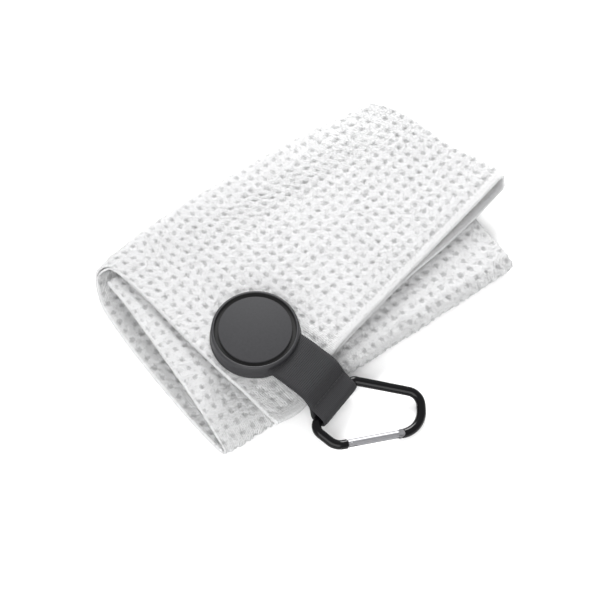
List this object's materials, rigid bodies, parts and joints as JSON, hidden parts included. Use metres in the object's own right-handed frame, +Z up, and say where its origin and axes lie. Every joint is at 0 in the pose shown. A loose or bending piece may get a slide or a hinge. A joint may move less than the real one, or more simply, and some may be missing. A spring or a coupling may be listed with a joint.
{
  "type": "golf towel",
  "caption": "Folded waffle-weave towel with a round magnetic puck on top, whose webbing strap carries a small carabiner with a sprung gate.",
  "frame": {"origin": "middle of the whole object's footprint, on the surface that the folded towel lies on", "axes": "+X along the towel's long front fold, towards the end where the top flap overhangs; +Y towards the back ridge; +Z up"},
  "size_m": [0.2374, 0.1911, 0.032],
  "materials": {
    "towel_fabric": "white waffle-weave microfibre",
    "white_thread": "white polyester thread",
    "zinc_steel": "zinc plated",
    "black_rubber": "matt charcoal silicone rubber",
    "dark_plastic": "matt charcoal",
    "grey_foam": "closed-cell foam",
    "nickel": "nickel plated",
    "webbing": "ribbed grosgrain webbing",
    "dark_thread": "dark polyester thread",
    "black_anodised": "glossy black anodised",
    "plain_aluminium": "satin"
  },
  "bodies": {
    "towel": {"towel_cloth": "towel_fabric", "hem_stitches": "white_thread", "keeper_plate": "zinc_steel", "keeper_patch": "towel_fabric"},
    "puck": {"puck_cover": "black_rubber", "face_disc": "dark_plastic", "foam_pad": "grey_foam", "steel_cup": "zinc_steel", "magnet": "nickel", "base_plate": "dark_plastic", "base_screws": "zinc_steel", "grip_pad": "black_rubber", "webbing_root": "webbing", "clamp_bar": "dark_plastic", "clamp_screws": "zinc_steel"},
    "strap": {"webbing_loop": "webbing", "loop_stitches": "dark_thread"},
    "carabiner": {"carabiner_body": "black_anodised"},
    "gate": {"gate": "plain_aluminium", "gate_rivet": "plain_aluminium", "nose_pin": "zinc_steel", "gate_plunger": "zinc_steel", "gate_spring": "zinc_steel"}
  },
  "joints": [
    {"name": "puck_lift", "type": "slide", "parent": "towel", "child": "puck", "axis": [0, 0, 1], "range_m": [0, 0.06]},
    {"name": "strap_flex", "type": "hinge", "parent": "puck", "child": "strap", "pos_m": [-0.05372, -0.03191, 0.0274], "axis": [-0.9588, -0.284, 0], "range_deg": [0, 70]},
    {"name": "carabiner_swing", "type": "hinge", "parent": "strap", "child": "carabiner", "pos_m": [-0.04639, -0.05665, 0.01], "axis": [-0.9588, -0.284, 0], "range_deg": [-70, 110]},
    {"name": "gate_open", "type": "hinge", "parent": "carabiner", "child": "gate", "pos_m": [-0.02673, -0.09134, 0.00342], "axis": [-0.0474, 0.1601, -0.986], "range_deg": [0, 28], "stiffness_Nm_per_rad": 0.1, "springref_deg": -20.05}
  ]
}
